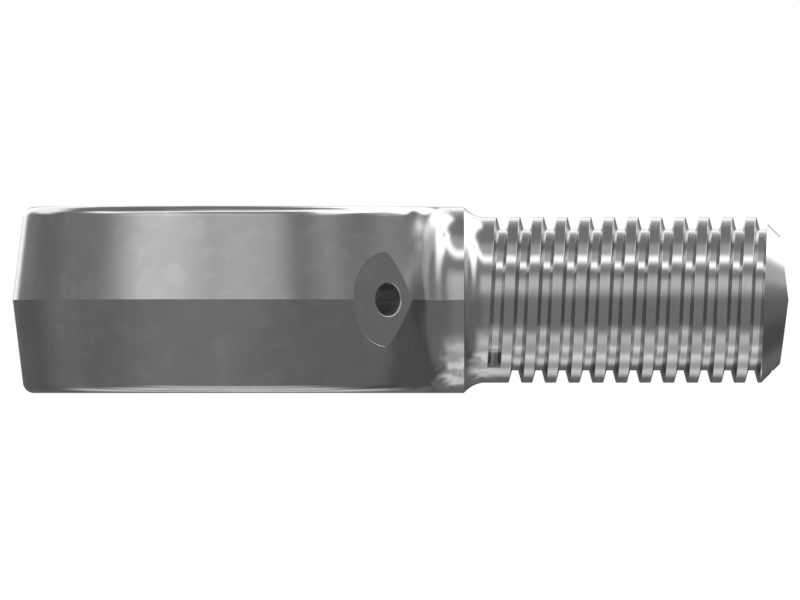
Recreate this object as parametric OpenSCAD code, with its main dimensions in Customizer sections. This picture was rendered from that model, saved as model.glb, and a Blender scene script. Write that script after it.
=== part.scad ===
// Rod eye forged in one piece: a thick eye with drafted sides, a round neck that
// flares into it, and a shank turned and cut with a left-hand trapezoidal thread.
// A grease hole with a spot-faced seat runs at an angle through the rim to the bore.
// Origin at the middle of the bore, Z along the bore, X along the shank to its end.

/* [Eye] */
// Outside diameter of the eye on the parting line
eye_d = 118.5; // [106:0.5:130]
// Thickness of the head between its two flat faces
head_t = 50; // [47:0.5:56]
// Diameter of the plain bore
bore_d = 50.8; // [30:0.1:64]
// Chamfer at both ends of the bore
bore_chamfer = 1.5; // [0.5:0.1:3]
// Draft angle of the forged sides
draft = 7; // [4:0.5:8]
// Rounding where the sides meet the flat faces
edge_r = 3; // [1.5:0.1:4]

/* [Neck] */
// Radius of the forged flare between the eye and the neck
flare_r = 12; // [6:0.5:16]
// Length of the round neck between the flare and the shoulder where turning begins
neck_l = 1.7; // [1:0.1:15]

/* [Shank] */
// Outside diameter of the thread
thread_d = 44.45; // [36:0.05:46]
// Radius of the turned fillet below the shoulder
fillet_r = 8; // [6:0.1:12]
// Distance from the bore axis to the ridge of the end face
end_x = 149; // [130:0.5:180]
// Length of the chamfer at the end of the shank, measured along the shank
end_chamfer = 7.1; // [5:0.1:9]

/* [Thread] */
// Axial distance from one thread to the next
pitch = 6.35; // [5:0.05:8]
// Radial depth of the groove
thread_depth = 3.3; // [2:0.05:3.5]
// Width of the groove at its bottom
root_w = 1.9; // [1.2:0.05:2.2]
// Angle of each flank from a plane square to the shank
flank_angle = 14.5; // [10:0.5:15]
// Plain length of shank between the turned fillet and the first groove
plain_l = 1.05; // [0.5:0.05:4]
// Angle round the shank at which the groove begins, from the top towards the seat side
groove_start = 144; // [0:1:359]

/* [Grease hole] */
// Diameter of the grease hole
grease_d = 8.6; // [4:0.1:12]
// Edge break at the mouth of the grease hole
grease_break = 0.35; // [0.1:0.05:0.8]
// Diameter of the spot-faced seat
seat_d = 25.4; // [18:0.1:28]
// Angle between the grease hole and the shank
grease_angle = 50; // [44:0.5:60]
// Distance from the bore axis to the point where the hole's line crosses the shank's
grease_x = 8.3; // [0:0.1:12]
// Depth of the seat below the rim, measured along the hole's axis
seat_depth = 1.5; // [0.8:0.1:3]

/* [Hidden] */
$fn = 96;
past = 1;
eye_r = eye_d / 2;
half_t = head_t / 2;
thread_r = thread_d / 2;
root_r = thread_r - thread_depth;

// Centre of the rounding at the upper edge of the eye, as [radius, height]
edge_z = half_t - edge_r;
edge_c = eye_r - edge_z * tan(draft) - edge_r / cos(draft);

// The flare touches the largest ball that fits inside the drafted rim, less a small inset,
// and it meets the neck a little below its surface so that the two cross cleanly
flare_inset = 0.1;
ball_r = eye_r * cos(draft) - flare_inset;
flare_y = half_t - flare_inset + flare_r;
flare_x = sqrt(pow(ball_r + flare_r, 2) - pow(flare_y, 2));
flare_meet = flare_x - sqrt(pow(flare_r, 2) - pow(flare_y - half_t, 2));
shoulder_x = flare_x + neck_l;

// Turned fillet: an arc from the shoulder that runs out on the shank at a slight angle
runout = 7;
fillet_cy = thread_r + fillet_r * cos(runout);
fillet_cx = shoulder_x + sqrt(pow(fillet_r, 2) - pow(fillet_cy - half_t, 2));
fillet_end = fillet_cx - fillet_r * sin(runout);
chamfer_x = end_x - end_chamfer;

// Helical groove: it starts at groove_start and climbs left-handed past the end chamfer
steps_per_turn = 24;
groove_top = thread_r + past;
groove_half_root = root_w / 2;
groove_half_top = groove_half_root + (groove_top - root_r) * tan(flank_angle);
groove_half_mouth = groove_half_root + thread_depth * tan(flank_angle);
groove_x = fillet_end + plain_l + groove_half_mouth;
groove_end = chamfer_x + thread_depth + groove_half_top;
groove_steps = ceil((groove_end - groove_x) / pitch * steps_per_turn);

// Seat of the grease hole, measured along the hole's axis from where it crosses the shank's
grease_off = grease_x * sin(grease_angle);
rim_l = sqrt(eye_r * eye_r - grease_off * grease_off) - grease_x * cos(grease_angle);
seat_l = rim_l - seat_depth;

// One side of the rim: straight drafted wall with its edge rounded by a circle
module eye_profile() {
    wall = [edge_c + edge_r * cos(draft), edge_z + edge_r * sin(draft)];
    polygon([
        [0, -half_t], [edge_c, -half_t], [edge_c, -edge_z], [wall[0], -wall[1]],
        [eye_r, 0],
        [wall[0], wall[1]], [edge_c, edge_z], [edge_c, half_t], [0, half_t]
    ]);
    for (side = [-1, 1])
        translate([edge_c, side * edge_z])
            circle(edge_r);
}

// Half section of the flare, the neck with its turned fillet and the shank with its chamfer,
// as radius and distance along the shank
module shank_profile() {
    difference() {
        polygon([[0, 0], [flare_y, flare_x], [0, flare_x]]);
        translate([flare_y, flare_x])
            circle(flare_r);
    }
    difference() {
        polygon([
            [0, flare_meet - past], [half_t, flare_meet - past],
            [half_t, fillet_cx], [0, fillet_cx]
        ]);
        translate([fillet_cy, fillet_cx])
            circle(fillet_r);
    }
    polygon([
        [0, shoulder_x], [thread_r, shoulder_x], [thread_r, chamfer_x],
        [thread_r - end_chamfer - past, end_x + past], [0, end_x + past]
    ]);
}

module along_shank() {
    rotate([0, 90, 0])
        children();
}

// Sharp ridge that the two dies leave on the sides of the neck, up to the turned shoulder
module parting_ridge() {
    sunk = 0.02;
    ridge_gap = 0.1;
    tip = half_t / cos(draft) - sunk;
    foot = half_t / 2;
    rotate([90, 0, 90])
        linear_extrude(shoulder_x - ridge_gap)
            polygon([
                [tip, 0], [tip - foot * tan(draft), foot], [-tip + foot * tan(draft), foot],
                [-tip, 0], [-tip + foot * tan(draft), -foot], [tip - foot * tan(draft), -foot]
            ]);
}

// The flare is trimmed level with the two flat faces of the head
module flare_trim() {
    trim_gap = 0.25;
    trim_l = flare_meet - trim_gap;
    for (side = [-1, 1])
        translate([trim_l / 2, 0, side * (half_t + flare_r / 2)])
            cube([trim_l, eye_d, flare_r], center = true);
}

// Forged end face: two drafted planes that meet on the parting line
module end_trim() {
    lean = thread_d * tan(draft);
    rotate([90, 0, 0])
        linear_extrude(thread_d + past, center = true)
            polygon([
                [end_x, 0], [end_x - lean, thread_d], [end_x + thread_d, thread_d],
                [end_x + thread_d, -thread_d], [end_x - lean, -thread_d]
            ]);
}

// Trapezoid carried along a left-hand helix
module thread_groove() {
    section = [
        [-groove_half_root, root_r], [groove_half_root, root_r],
        [groove_half_top, groove_top], [-groove_half_top, groove_top]
    ];
    points = [
        for (i = [0 : groove_steps])
            let (turn = groove_start - 360 * i / steps_per_turn)
                for (p = section)
                    [groove_x + pitch * i / steps_per_turn + p[0], -p[1] * sin(turn), p[1] * cos(turn)]
    ];
    last = 4 * groove_steps;
    faces = concat(
        [[0, 2, 1], [0, 3, 2]],
        [
            for (i = [0 : groove_steps - 1])
                for (j = [0 : 3])
                    let (a = 4 * i + j, b = 4 * i + (j + 1) % 4)
                        each [[a, b + 4, a + 4], [a, b, b + 4]]
        ],
        [[last, last + 1, last + 2], [last, last + 2, last + 3]]
    );
    polyhedron(points, faces);
}

module bore() {
    cylinder(d = bore_d, h = head_t + 2 * past, center = true);
    for (side = [0, 1])
        mirror([0, 0, side])
            translate([0, 0, half_t - bore_chamfer])
                cylinder(d1 = bore_d, d2 = bore_d + 2 * (bore_chamfer + past), h = bore_chamfer + past);
}

// Hole and seat, drilled from the rim towards the bore
module grease_hole() {
    translate([grease_x, 0, 0])
        rotate([0, 0, -grease_angle])
            along_shank() {
                cylinder(d = grease_d, h = seat_l + past);
                translate([0, 0, seat_l])
                    cylinder(d = seat_d, h = eye_r);
                translate([0, 0, seat_l - grease_break])
                    cylinder(d1 = grease_d, d2 = grease_d + 2 * (grease_break + past), h = grease_break + past);
            }
}

module rod_eye() {
    color([0.56, 0.56, 0.57])
        difference() {
            union() {
                rotate_extrude()
                    eye_profile();
                difference() {
                    along_shank()
                        rotate_extrude()
                            shank_profile();
                    flare_trim();
                    thread_groove();
                    end_trim();
                }
                parting_ridge();
            }
            bore();
            grease_hole();
        }
}

rod_eye();
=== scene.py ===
import math

import bmesh
import bpy
import numpy as np
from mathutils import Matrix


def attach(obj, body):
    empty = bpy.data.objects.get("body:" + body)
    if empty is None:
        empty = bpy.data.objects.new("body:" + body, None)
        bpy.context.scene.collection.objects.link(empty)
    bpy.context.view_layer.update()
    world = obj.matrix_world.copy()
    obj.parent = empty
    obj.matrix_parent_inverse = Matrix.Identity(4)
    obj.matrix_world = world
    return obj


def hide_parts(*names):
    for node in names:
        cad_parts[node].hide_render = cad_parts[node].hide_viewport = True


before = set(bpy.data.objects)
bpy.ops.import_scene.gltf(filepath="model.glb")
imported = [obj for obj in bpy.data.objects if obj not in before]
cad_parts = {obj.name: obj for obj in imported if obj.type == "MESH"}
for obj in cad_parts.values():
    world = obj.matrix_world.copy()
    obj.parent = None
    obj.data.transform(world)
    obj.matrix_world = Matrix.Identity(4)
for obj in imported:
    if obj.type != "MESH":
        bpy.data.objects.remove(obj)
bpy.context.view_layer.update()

# Rod eye: eye, neck and shank drop-forged as one piece of bare steel. The forged skin is smooth,
# with a ridge on the parting line. The fillet at the neck, the thread, the bore, the grease hole
# and its seat are cut. Sizes are in millimetres, with the bore along Z and the shank along X.
draft = math.radians(7)
half_t = 25.0
eye_r = 59.25
edge_r = 3.0
bore_r = 25.4
bore_chamfer = 1.5
flare_r = 11.5
flare_top_r = 8.5
shoulder_x = 62.016
thread_r = 22.225
fillet_r = 8.0
runout = math.radians(7)
end_x = 149.0
end_chamfer = 7.1
pitch = 6.35
depth = 3.3
root_half = 0.95
flank = math.radians(14.5)
corner = 0.12
plain_l = 1.05
groove_start = 144.0
groove_ramp = 8.0
grease_r = 4.3
grease_break = 0.5
seat_r = 12.7
grease_angle = math.radians(50)
grease_x = 8.3
seat_depth = 1.5
seat_break = 0.6
shoulder_step = 0.08
hollow_depth = 0.9
hollow_at = np.array([50.2, -28.0, 22.8])
hollow_spread = np.array([2.6, 7.0, 4.2])
hollow_way = np.array([0.875, -0.485, 0.0])
hollow_end_z = 22.5
hollow_fade = 4.0


def grid_faces(columns, rows, closed):
    """Quads of a grid of columns by rows, numbered column by column; closed joins the last row
    to the first."""
    i, j = np.meshgrid(np.arange(columns - 1), np.arange(rows if closed else rows - 1), indexing="ij")
    k = (j + 1) % rows
    return np.stack([i * rows + j, i * rows + k, (i + 1) * rows + k, (i + 1) * rows + j], -1).reshape(-1, 4)


def rim(turn):
    """Side of the eye by plan angle, one row per height: radius is the eye's less the draft times the
    height on the wall, then a circle of the edge radius tangent to wall and flat face."""
    wall_z = wall * wall_top
    radius = eye_r - np.where(wall < 1, wall_z * math.tan(draft), edge_inset - edge_r * np.cos(lift))
    height = np.where(wall < 1, wall_z, edge_z + edge_r * np.sin(lift)) + 0 * turn
    return np.stack([radius * np.sin(turn), -radius * np.cos(turn), height], -1)


def hollowed(points):
    """Points moved towards the eye's middle by a bell curve in length, depth and height, times
    a smooth step that ends it towards the flat face."""
    bell = np.exp(-(((points - hollow_at) / hollow_spread) ** 2).sum(-1))
    top = np.clip((points[..., 2] - hollow_end_z) / hollow_fade, 0, 1)
    size = hollow_depth * bell * (1 - top * top * (3 - 2 * top))
    return points - size[..., None] * hollow_way


# A ball of the flare's radius, which shrinks towards the top, rolls in the corner between eye and
# neck, one position per row. It starts beside the parting ridge and touches the drafted wall first,
# then the rounded edge.
ridge_z = np.array([0, half_t * math.sin(draft) / 2])
round_neck = np.radians(np.concatenate([np.linspace(7, 39, 14), [41.5, 42.5], np.linspace(45, 90, 19)]))
shrink = np.clip((round_neck - math.radians(20)) / math.radians(40), 0, 1)
flare = flare_r + (flare_top_r - flare_r) * shrink * shrink * (3 - 2 * shrink)
ball_z = np.concatenate([ridge_z + flare_r * math.sin(draft), (half_t + flare) * np.sin(round_neck)])
ball_y = np.concatenate([
    (half_t + flare_r - ball_z[:2] * math.sin(draft)) / math.cos(draft),
    (half_t + flare) * np.cos(round_neck),
])
round_neck = np.concatenate([np.full(2, draft), round_neck])
flare = np.concatenate([np.full(2, flare_r), flare])
edge_z = half_t - edge_r
wall_top = edge_z + edge_r * math.sin(draft)
wall = np.minimum((ball_z - flare * math.sin(draft)) / wall_top, 1)
lift = np.where(wall < 1, draft, np.arcsin(np.clip((ball_z - edge_z) / (edge_r + flare), 0, 1)))
edge_inset = edge_z * math.tan(draft) + edge_r / math.cos(draft)
reach = np.where(
    wall < 1,
    eye_r - wall * wall_top * math.tan(draft) + flare * math.cos(draft),
    eye_r - edge_inset + (edge_r + flare) * np.cos(lift),
)
ball_x = np.sqrt(np.maximum(reach ** 2 - ball_y ** 2, 0))
ball = np.stack([ball_x, -ball_y, ball_z], -1)
last_turn = np.arctan2(ball_x, ball_y)

# Head, near side: round the eye from the far end to where the ball touches, with a shallow hollow
# there. Each column closes over the flat face, down the bore and back under the lower half.
share = np.linspace(0, 1, 181)[:, None]
turn = -math.pi / 2 + (last_turn[None, :] + math.pi / 2) * share
upper = hollowed(rim(turn))
top_turn = turn[:, -1]
lip = bore_r + bore_chamfer
bore_top = np.stack([
    np.stack([r * np.sin(top_turn), -r * np.cos(top_turn), np.full_like(top_turn, z)], -1)
    for r, z in ((lip, half_t), (bore_r, half_t - bore_chamfer))
], 1)
upper = np.concatenate([upper, bore_top], 1)
near = np.concatenate([upper, upper[:, :0:-1] * [1, 1, -1]], 1)
head = np.concatenate([near[::-1], near[1:] * [1, -1, 1]], 0)
vertices = [head.reshape(-1, 3)]
faces = [grid_faces(head.shape[0], head.shape[1], True)]
count = len(vertices[0])

# Flare and neck: arcs of the ball from the eye's normal to the neck's, then straight to the shoulder
from_eye = np.stack([np.sin(last_turn) * np.cos(lift), -np.cos(last_turn) * np.cos(lift), np.sin(lift)], -1)
to_neck = np.stack([0 * round_neck, -np.cos(round_neck), np.sin(round_neck)], -1)
sweep = np.linspace(0, 1, 25)[:, None, None]
arc_normal = (1 - sweep) * from_eye + sweep * to_neck
arc_normal /= np.linalg.norm(arc_normal, axis=-1, keepdims=True)
quarter = hollowed(ball - flare[:, None] * arc_normal)
quarter = np.concatenate([quarter, quarter[-1:] * [0, 1, 1] + [shoulder_x, 0, 0]])
side = np.concatenate([quarter[:, ::-1], quarter[:, 1:] * [1, 1, -1]], 1)
neck = np.concatenate([side, side[:, -2:0:-1] * [1, -1, 1]], 1)

# Turned fillet: rings of the same directions, from a fine step at the shoulder down to the shank
ring = neck[-1, :, 1:]
around = np.degrees(np.arctan2(-ring[:, 0], ring[:, 1])) % 360
circle = ring / np.linalg.norm(ring, axis=1)[:, None]
fillet_cy = thread_r + fillet_r * math.cos(runout)
fillet_cx = shoulder_x + math.sqrt(fillet_r ** 2 - (fillet_cy - half_t) ** 2)
fillet_end = fillet_cx - fillet_r * math.sin(runout)
arc = np.linspace(math.atan2(half_t - fillet_cy, shoulder_x - fillet_cx), -math.pi / 2 - runout, 15)
mouth_half = root_half + depth * math.tan(flank)
ease = corner * math.tan((math.pi / 2 - flank) / 2)
strip_x = fillet_end + plain_l - ease
turned_x = np.concatenate([fillet_cx + fillet_r * np.cos(arc), [(fillet_end + strip_x) / 2, strip_x]])
turned_r = np.concatenate([fillet_cy + fillet_r * np.sin(arc), [thread_r, thread_r]])
turned_r[0] -= shoulder_step
turned = np.concatenate([
    np.broadcast_to(turned_x[:, None, None], (len(turned_x), len(circle), 1)),
    turned_r[:, None, None] * circle,
], -1)
rings = np.concatenate([neck, turned])
vertices.append(rings.reshape(-1, 3))
faces.append(grid_faces(rings.shape[0], rings.shape[1], True) + count)
count += len(vertices[-1])

# Thread: a trapezoidal groove with eased corners carried along a left-hand helix, one strip per
# turn. It sinks in on a short ramp. Before that and past the shank's end the strip is plain and
# narrows away.
along = np.array([1.0, 0.0])
down = np.array([math.sin(flank), -math.cos(flank)])
inward = (down - along) / np.linalg.norm(down - along)
inward = inward * corner * (1 / math.cos((math.pi / 2 - flank) / 2) - 1)
mouth = np.array([-mouth_half, 0.0])
root = np.array([-root_half, -depth])
half_profile = np.stack([
    mouth - ease * along, mouth + inward, mouth + ease * down,
    root - ease * down, root - inward, root + ease * along,
])
profile = np.concatenate([half_profile, half_profile[::-1] * [-1, 1], [[pitch - mouth_half - ease, 0]]])
profile[:, 0] += mouth_half + ease
start = around[np.argmin(np.abs(around - groove_start))]
wind = (start - around) % 360
order = np.argsort(wind)
turns = math.ceil((end_x + 1 - strip_x) / pitch)
wound = np.concatenate([wind[order] + 360 * n for n in range(-1, turns + 1)] + [[360.0 * (turns + 1)]])
direction = np.concatenate([np.tile(circle[order], (turns + 2, 1)), circle[order][:1]])
width = np.clip(np.minimum(1 + wound / 360, 1 - (wound - 360 * turns) / 360), 0, 1)
cut = np.clip(wound / groove_ramp, 0, 1) * (wound < 360 * turns)
left = strip_x + pitch * np.clip(wound, 0, None) / 360
strip_r = thread_r + cut[:, None] * profile[None, :, 1]
strip = np.stack([
    left[:, None] + width[:, None] * profile[None, :, 0],
    strip_r * direction[:, None, 0],
    strip_r * direction[:, None, 1],
], -1)
vertices.append(strip.reshape(-1, 3))
faces.append(grid_faces(strip.shape[0], strip.shape[1], False) + count)
count += len(vertices[-1])
cap_x = strip_x + pitch * (turns + 1)
vertices.append(np.column_stack([np.full(len(circle), cap_x), thread_r * circle]))
cap = [list(range(count, count + len(circle)))]


def solid(name, points, polygons):
    """Closed object from points in millimetres, with double points merged and normals outward."""
    data = bpy.data.meshes.new(name)
    data.from_pydata(np.asarray(points) / 1000, [], polygons)
    shape = bmesh.new()
    shape.from_mesh(data)
    bmesh.ops.remove_doubles(shape, verts=shape.verts, dist=4e-7)
    bmesh.ops.dissolve_degenerate(shape, edges=shape.edges, dist=1e-8)
    bmesh.ops.recalc_face_normals(shape, faces=shape.faces)
    shape.to_mesh(data)
    shape.free()
    made = bpy.data.objects.new(name, data)
    bpy.context.collection.objects.link(made)
    return made


spin = np.linspace(0, 2 * math.pi, 145)


def revolved(name, profile, axis, origin, closed):
    """Tool turned from a profile of distance along the axis and radius, which may change with the angle;
    not closed ends on flat faces."""
    axis = np.array(axis, float)
    across = np.cross(axis, [0, 0, 1.0])
    up = np.cross(across, axis)
    phi = spin[:, None, None]
    profile = np.array(profile, float)
    points = np.array(origin, float) + profile[..., :1] * axis
    points = points + profile[..., 1:] * (np.cos(phi) * across + np.sin(phi) * up)
    columns, rows = points.shape[:2]
    quads = grid_faces(columns, rows, closed).tolist()
    if not closed:
        quads += [[n * rows + end for n in range(columns - 1)] for end in (0, rows - 1)]
    return solid(name, points.reshape(-1, 3), quads)


rod_eye = solid("rod_eye_forged", np.concatenate(vertices), np.concatenate(faces).tolist() + cap)

# Cutting tools, which stand clear of the steel outside the cut: a cone for the chamfer, a prism for
# the two drafted planes of the end, and a drill for the grease hole with its rounded mouth and seat
clear = 3.0
tool_l = 40.0
cone_depth = 12.0
drill_start = 2.0
thin = 0.02
chamfer_x = end_x - end_chamfer
cone = [
    [chamfer_x - clear, thread_r + clear],
    [chamfer_x + cone_depth, thread_r - cone_depth],
    [chamfer_x + tool_l, thread_r - cone_depth],
    [chamfer_x + tool_l, thread_r + tool_l],
    [chamfer_x - clear, thread_r + tool_l],
]
lean = tool_l * math.tan(draft)
wedge = [
    [end_x, 0], [end_x - lean, tool_l], [end_x + tool_l, tool_l],
    [end_x + tool_l, -tool_l], [end_x - lean, -tool_l],
]
prism = [[x, y, z] for y in (-tool_l, tool_l) for x, z in wedge]
prism_sides = [[n, (n + 1) % 5, (n + 1) % 5 + 5, n + 5] for n in range(5)]
hole_axis = [math.cos(grease_angle), -math.sin(grease_angle), 0]
hole_off = grease_x * math.sin(grease_angle)
seat_l = math.sqrt(eye_r ** 2 - hole_off ** 2) - grease_x * math.cos(grease_angle) - seat_depth
rim_r = eye_r - seat_r * np.abs(np.sin(spin)) * math.tan(draft)
rim_l = np.sqrt(rim_r ** 2 - (seat_r * np.cos(spin) - hole_off) ** 2) - grease_x * math.cos(grease_angle)
break_l = np.maximum(np.maximum(rim_l - seat_break, (rim_l + seat_l) / 2), seat_l + thin)
mouth_arc = [
    [seat_l - grease_break * (1 - math.sin(bend)), grease_r + grease_break * (1 - math.cos(bend))]
    for bend in np.linspace(0, math.pi / 2, 9)
]
drill = [
    [
        [drill_start, grease_r], *mouth_arc, [seat_l, seat_r], [edge_l, seat_r],
        [edge_l + clear, seat_r + clear], [seat_l + tool_l, seat_r + clear],
    ]
    for edge_l in break_l
]
tools = [
    revolved("chamfer_tool", cone, [1, 0, 0], [0, 0, 0], True),
    solid("end_tool", prism, prism_sides + [[0, 1, 2, 3, 4], [9, 8, 7, 6, 5]]),
    revolved("drill_tool", drill, hole_axis, [grease_x, 0, 0], False),
]
for tool in tools:
    boolean = rod_eye.modifiers.new(tool.name, "BOOLEAN")
    boolean.object = tool
    boolean.operation = "DIFFERENCE"
    boolean.solver = "EXACT"
finished = bpy.data.meshes.new_from_object(rod_eye.evaluated_get(bpy.context.evaluated_depsgraph_get()))
rod_eye.modifiers.clear()
rod_eye.data = finished
for tool in tools:
    bpy.data.objects.remove(tool)
finished.shade_smooth()
finished.set_sharp_from_angle(angle=math.radians(12.5))

# The seat meets the rim at a flat angle, and that outline stays crisp
shape = bmesh.new()
shape.from_mesh(finished)
bmesh.ops.remove_doubles(shape, verts=shape.verts, dist=1e-6)
bmesh.ops.dissolve_degenerate(shape, edges=shape.edges, dist=1e-8)
seat_level = (seat_l + grease_x * hole_axis[0]) / 1000
for outline in shape.edges:
    on_seat = [
        face.normal.dot(hole_axis) > 0.99999 and abs(face.verts[0].co.dot(hole_axis) - seat_level) < 2e-6
        for face in outline.link_faces
    ]
    if any(on_seat) and not all(on_seat):
        outline.smooth = False
shape.to_mesh(finished)
shape.free()


class Value:
    """One output of a node tree: arithmetic on it adds Math nodes, and new() adds any other node."""

    def __init__(self, tree, socket=None):
        self.tree = tree
        self.socket = socket

    def new(self, kind, output=0, inputs=None, **settings):
        node = self.tree.nodes.new(kind)
        for name, value in settings.items():
            setattr(node, name, value)
        for name, value in (inputs or {}).items():
            self.join(node.inputs[name], value)
        return Value(self.tree, node.outputs[output])

    def join(self, socket, value):
        if isinstance(value, Value):
            self.tree.links.new(value.socket, socket)
        else:
            socket.default_value = value

    def also(self, output):
        return Value(self.tree, self.socket.node.outputs[output])

    def math(self, operation, *values):
        return self.new("ShaderNodeMath", inputs=dict(enumerate(values)), operation=operation)

    def step(self, low, high):
        """0 below low, 1 above high, smooth between."""
        limits = {"Value": self, "From Min": low, "From Max": high}
        return self.new("ShaderNodeMapRange", inputs=limits, interpolation_type="SMOOTHSTEP")

    def band(self, low, high, soft):
        """1 between low and high, 0 outside, with soft edges of that width."""
        rise = self.step(low - soft / 2, low + soft / 2)
        return rise * (1 - self.step(high - soft / 2, high + soft / 2))

    def __add__(self, other):
        return self.math("ADD", self, other)

    def __radd__(self, other):
        return self.math("ADD", other, self)

    def __sub__(self, other):
        return self.math("SUBTRACT", self, other)

    def __rsub__(self, other):
        return self.math("SUBTRACT", other, self)

    def __mul__(self, other):
        return self.math("MULTIPLY", self, other)

    def __rmul__(self, other):
        return self.math("MULTIPLY", other, self)

    def __truediv__(self, other):
        return self.math("DIVIDE", self, other)

    def __rtruediv__(self, other):
        return self.math("DIVIDE", other, self)


# Bare steel: cloudy stains in colour and roughness, gentle waves on the forged skin, ripples low on the
# neck, turning marks on the shank, painted shade on the thread's flanks and painted light on the grease
# hole's wall
steel = bpy.data.materials.new("steel")
steel.use_nodes = True
shader = steel.node_tree.nodes["Principled BSDF"]
shader.inputs["Metallic"].default_value = 1
spot = Value(steel.node_tree).new("ShaderNodeTexCoord", "Object")
px = spot.new("ShaderNodeSeparateXYZ", "X", {0: spot})
py, pz = px.also("Y"), px.also("Z")
hole_side = (px - grease_x / 1000) * math.sin(grease_angle) + py * math.cos(grease_angle)
drilled = (1 - (hole_side * hole_side + pz * pz).step(1.9e-5, 2.1e-5)) * (1 - py.step(-0.02, -0.01))
turned_side = px.step(0.0619, 0.0622)
forged = (1 - turned_side) * (1 - drilled)
cloud = spot.new("ShaderNodeTexNoise", "Fac", {"Vector": spot, "Scale": 70.0, "Detail": 3.0})
wave = spot.new("ShaderNodeTexNoise", "Fac", {"Vector": spot, "Scale": 45.0, "Detail": 1.0})
lathe_at = spot.new("ShaderNodeCombineXYZ", inputs={0: px})
lathe = spot.new("ShaderNodeTexNoise", "Fac", {"Vector": lathe_at, "Scale": 2500.0, "Detail": 1.0})
round_r = py * py + pz * pz
# Painted shade: the thread's flanks are darkened in the base colour, less so near the top where light falls
# on them
flank_shade = round_r.step(3.6e-4, 3.8e-4) * (1 - round_r.step(4.70e-4, 4.86e-4))
flank_shade = flank_shade * px.band(0.070, 0.1415, 0.0005) * (1 - pz.step(0.010, 0.015))
smudge = spot.new("ShaderNodeTexNoise", "Fac", {"Vector": spot, "Scale": 190.0, "Detail": 4.0})
tone = 0.55 + 0.16 * (cloud - 0.5) + 0.05 * smudge.step(0.48, 0.72)
tone = tone + 0.08 * (lathe - 0.5) * turned_side
# Painted light: the grease hole's wall is made lighter in the base colour, and the flanks carry painted
# shade
tone = tone * (1 - 0.35 * flank_shade + 0.3 * drilled)
grey = spot.new("ShaderNodeCombineColor", inputs={0: tone, 1: tone, 2: tone})
spot.join(shader.inputs["Base Color"], grey)
spot.join(shader.inputs["Roughness"], 0.13 + 0.08 * cloud + 0.25 * drilled)
ripple = spot.new("ShaderNodeTexNoise", "Fac", {"Vector": spot, "Scale": 170.0, "Detail": 1.0})
uneven = px.band(0.0545, 0.069, 0.004) * (1 - pz.step(-0.016, -0.008))
height = forged * wave + 4 * ripple * uneven
bump = spot.new("ShaderNodeBump", "Normal", {"Height": height, "Strength": 1.0, "Distance": 0.00012})
spot.join(shader.inputs["Normal"], bump)
finished.materials.clear()
finished.materials.append(steel)
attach(rod_eye, "root")
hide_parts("rod_eye")

# Floor: a plain pale painted board that the part lies on. It is level with the lower flat face,
# and the steel does not mirror it.
board_half = 2.0
floor_z = -half_t / 1000
floor_corners = [(x * board_half, y * board_half, floor_z) for x, y in ((-1, -1), (1, -1), (1, 1), (-1, 1))]
floor_data = bpy.data.meshes.new("floor")
floor_data.from_pydata(floor_corners, [], [(0, 1, 2, 3)])
floor = bpy.data.objects.new("floor", floor_data)
bpy.context.collection.objects.link(floor)
board = bpy.data.materials.new("board")
board.use_nodes = True
paint = board.node_tree.nodes["Principled BSDF"]
paint.inputs["Base Color"].default_value = (0.8, 0.8, 0.8, 1)
paint.inputs["Roughness"].default_value = 0.9
floor_data.materials.append(board)
floor.visible_glossy = False

# Studio: a grey room, darker below; turn is the angle from the camera side towards the shank's end,
# rise the height, roll the angle round the shank. Soft boxes stand in front, above and at the back.
world = bpy.data.worlds.new("studio")
world.use_nodes = True
bpy.context.scene.world = world
room = Value(world.node_tree)
ray = room.new("ShaderNodeTexCoord", "Generated")
rx = ray.new("ShaderNodeSeparateXYZ", "X", {0: ray})
ry, rz = rx.also("Y"), rx.also("Z")
degree = 180 / math.pi
turn = rx.math("ARCTAN2", rx, 0 - ry) * degree
rise = rz.math("ARCSINE", rz) * degree
roll = rz.math("ARCTAN2", rz, 0 - ry) * degree
low = 0.195 + 0.07 * turn.band(-58, 18, 40) + 0.03 * turn.band(-112, -90, 10)
low = low - 0.06 * (1 - turn.step(-135, -112)) - 0.085 * turn.step(88, 102)
low = low + 0.08 * turn.step(115, 140) * (1 - rise.step(-25, -12))
high = 0.27 - 0.06 * turn.band(-132, -106, 14) + 0.06 * turn.band(46, 66, 16)
light = low + rise.step(-3, 7) * (high - low)
front = 0.44 * turn.step(-76, -46) * (1 - turn.step(20, 38))
front = front + 0.44 * turn.step(-80, -50) * (1 - turn.step(-40, -6)) + 0.08 * turn.band(-8, 12, 10)
light = light + front * rise.step(0, 20) * (1 - rise.step(28, 40))
strip_rise = rise - 59 + 12 * (1 - turn.step(-60, -5)) + 10 * (1 - turn.step(-85, -55))
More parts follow.
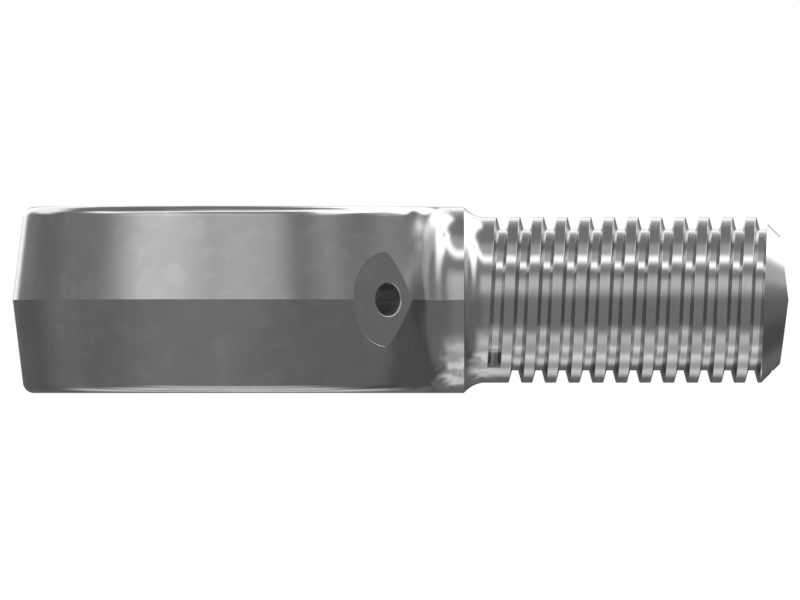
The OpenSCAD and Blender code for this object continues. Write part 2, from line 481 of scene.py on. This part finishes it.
light = light + 2.0 * strip_rise.band(-5, 5, 9) * turn.band(-100, 100, 30)
light = light + 0.3 * rise.step(62, 72) * (1 - ry.step(-0.25, 0.05))
widen = roll.step(42, 70) * (1 - roll.step(78, 92))
funnel = rx.math("ABSOLUTE", rx - 0.745 + 0.06 * widen) - 0.06 * widen
light = light + 1.9 * (1 - funnel.step(0.03, 0.12)) * roll.step(15, 80) * (1 - roll.step(95, 120))
light = light + 0.4 * turn.step(80, 96) * rise.step(7, 16) * (1 - rise.step(40, 60))
slant = turn + 0.5 * (rise - 20)
right_box = slant.step(106, 122) * (1 - turn.step(160, 176)) * rise.step(11, 23) * (1 - rise.step(52, 62))
light = light + 1.7 * right_box + 1.2 * (1 - turn.step(-135, -120)) * rise.band(16, 36, 8)
mottle = 0.5 + ray.new("ShaderNodeTexNoise", "Fac", {"Vector": ray, "Scale": 7.0, "Detail": 2.0})
below = 0.34 * roll.band(-136, -46, 14) + 0.2 * roll.band(-64, -50, 10)
below = below + 0.55 * roll.band(-97, -82, 10) + 0.5 * roll.band(-128, -114, 10)
light = light + mottle * below * rx.band(-0.6, 0.57, 0.35)
white = turn.math("ABSOLUTE", turn).step(150, 162) * rise.step(9, 16) * (1 - rise.step(28, 40))
white = white + turn.band(-175, -156, 8) * rise.step(-0.5, 2.5) * (1 - rise.step(9, 16))
light = light + white * (1.4 - light)
seen = ray.new("ShaderNodeLightPath", "Is Camera Ray")
light = light + seen * (1 - light)
room.join(world.node_tree.nodes["Background"].inputs["Color"], light)

# Camera: a long lens at the height of the floor, square to the bore and the shank,
# so far away that the outline is almost free of perspective
away = 7.0
shown_width = 0.215
middle_x = 0.04482
view = bpy.data.cameras.new("view")
view.sensor_width = 36
view.lens = view.sensor_width * away / shown_width
view.clip_end = 50
camera = bpy.data.objects.new("view", view)
bpy.context.collection.objects.link(camera)
camera.location = (middle_x, -away, floor_z)
camera.rotation_euler = (math.pi / 2 + math.atan2(-floor_z, away), 0, 0)
bpy.context.scene.camera = camera
bpy.context.scene.view_settings.view_transform = "Standard"
